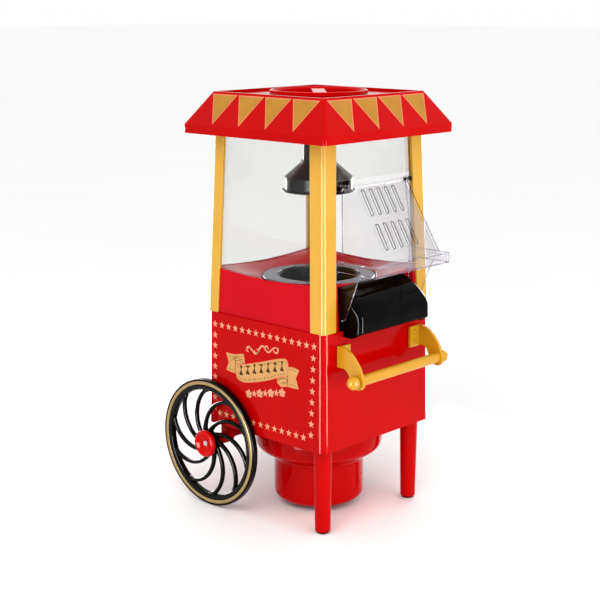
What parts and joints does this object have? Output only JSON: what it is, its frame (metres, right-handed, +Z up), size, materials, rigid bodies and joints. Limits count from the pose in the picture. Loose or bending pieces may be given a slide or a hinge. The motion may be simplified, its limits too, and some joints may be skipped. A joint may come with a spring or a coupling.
{
  "type": "tabletop hot-air popcorn cart",
  "caption": "Tabletop hot-air popcorn maker shaped as a street cart, with a peaked roof on posts, clear panels, tilting visor, chute, push handle and spoked wheels.",
  "frame": {"origin": "centre of the footprint box, on the floor", "axes": "+Z up; -Y is the front with the chute, visor and push handle; the axle runs along X at the rear"},
  "size_m": [0.18, 0.2405, 0.3915],
  "materials": {
    "body_red": "high gloss moulded red",
    "deck_crimson": "gloss crimson",
    "post_yellow": "satin gloss yellow",
    "handle_yellow": "gloss orange yellow",
    "clear_panel": "clear, polished",
    "clear_visor": "clear, polished",
    "black_gloss": "high gloss black",
    "charcoal": "satin charcoal",
    "wheel_black": "satin gloss black",
    "gilt": "satin gold paint",
    "hub_red": "high gloss red",
    "foot_dark": "matt dark red",
    "seal_black": "matt",
    "steel": "bright zinc plated",
    "chamber_alu": "spun, anodised",
    "mica": "layered mica",
    "heater_wire": "oxidised wire",
    "ceramic": "unglazed",
    "motor_steel": "plated can",
    "fan_white": "moulded"
  },
  "bodies": {
    "cart": {"body_shell": "body_red", "base_housing": "body_red", "intake_grille": "body_red", "deck": "deck_crimson", "chamber_ring": "chamber_alu", "ring_seal": "seal_black", "front_left_post": "post_yellow", "front_right_post": "post_yellow", "rear_left_post": "post_yellow", "rear_right_post": "post_yellow", "left_panel": "clear_panel", "right_panel": "clear_panel", "back_panel": "clear_panel", "front_panel": "clear_panel", "roof": "body_red", "ceiling_plate": "body_red", "filler_tube": "charcoal", "kettle_hood": "charcoal", "popcorn_chute": "black_gloss", "visor_pins": "steel", "handle_bar": "handle_yellow", "handle_knobs": "handle_yellow", "left_handle_bracket": "handle_yellow", "right_handle_bracket": "handle_yellow", "handle_screws": "handle_yellow", "front_left_leg": "body_red", "front_right_leg": "body_red", "leg_feet": "foot_dark", "leg_screws": "steel", "axle_carrier": "body_red", "axle": "steel", "axle_clips": "steel", "popping_chamber": "chamber_alu", "heater_duct": "steel", "heater_core": "mica", "heating_coil": "heater_wire", "thermostat": "ceramic", "motor_spider": "charcoal", "fan_motor": "motor_steel", "switch_housing": "charcoal", "switch_pin": "steel", "cord_gland": "charcoal", "base_screws": "steel", "roof_screws": "steel"},
    "left_wheel": {"left_wheel": "wheel_black", "left_wheel_band": "gilt", "left_hub_cap": "hub_red"},
    "right_wheel": {"right_wheel": "wheel_black", "right_wheel_band": "gilt", "right_hub_cap": "hub_red"},
    "visor": {"visor": "clear_visor"},
    "measuring_cup": {"measuring_cup": "body_red"},
    "rotor": {"motor_shaft": "steel", "fan_impeller": "fan_white"},
    "switch_rocker": {"switch_rocker": "black_gloss"}
  },
  "joints": [
    {"name": "left_wheel_spin", "type": "hinge", "parent": "cart", "child": "left_wheel", "pos_m": [-0.08, 0.05875, 0.0615], "axis": [1, 0, 0], "continuous": true},
    {"name": "right_wheel_spin", "type": "hinge", "parent": "cart", "child": "right_wheel", "pos_m": [0.08, 0.05875, 0.0615], "axis": [1, 0, 0], "continuous": true},
    {"name": "visor_tilt", "type": "hinge", "parent": "cart", "child": "visor", "pos_m": [0, -0.07525, 0.312], "axis": [-1, 0, 0], "range_deg": [0, 75]},
    {"name": "cup_lift", "type": "slide", "parent": "cart", "child": "measuring_cup", "axis": [0, 0, 1], "range_m": [0, 0.06]},
    {"name": "fan_spin", "type": "hinge", "parent": "cart", "child": "rotor", "pos_m": [0, -0.00725, 0.02], "axis": [0, 0, 1], "continuous": true},
    {"name": "switch_rock", "type": "hinge", "parent": "cart", "child": "switch_rocker", "pos_m": [-0.034, 0.06471, 0.118], "axis": [0, 0, 1], "range_deg": [0, 23]}
  ]
}
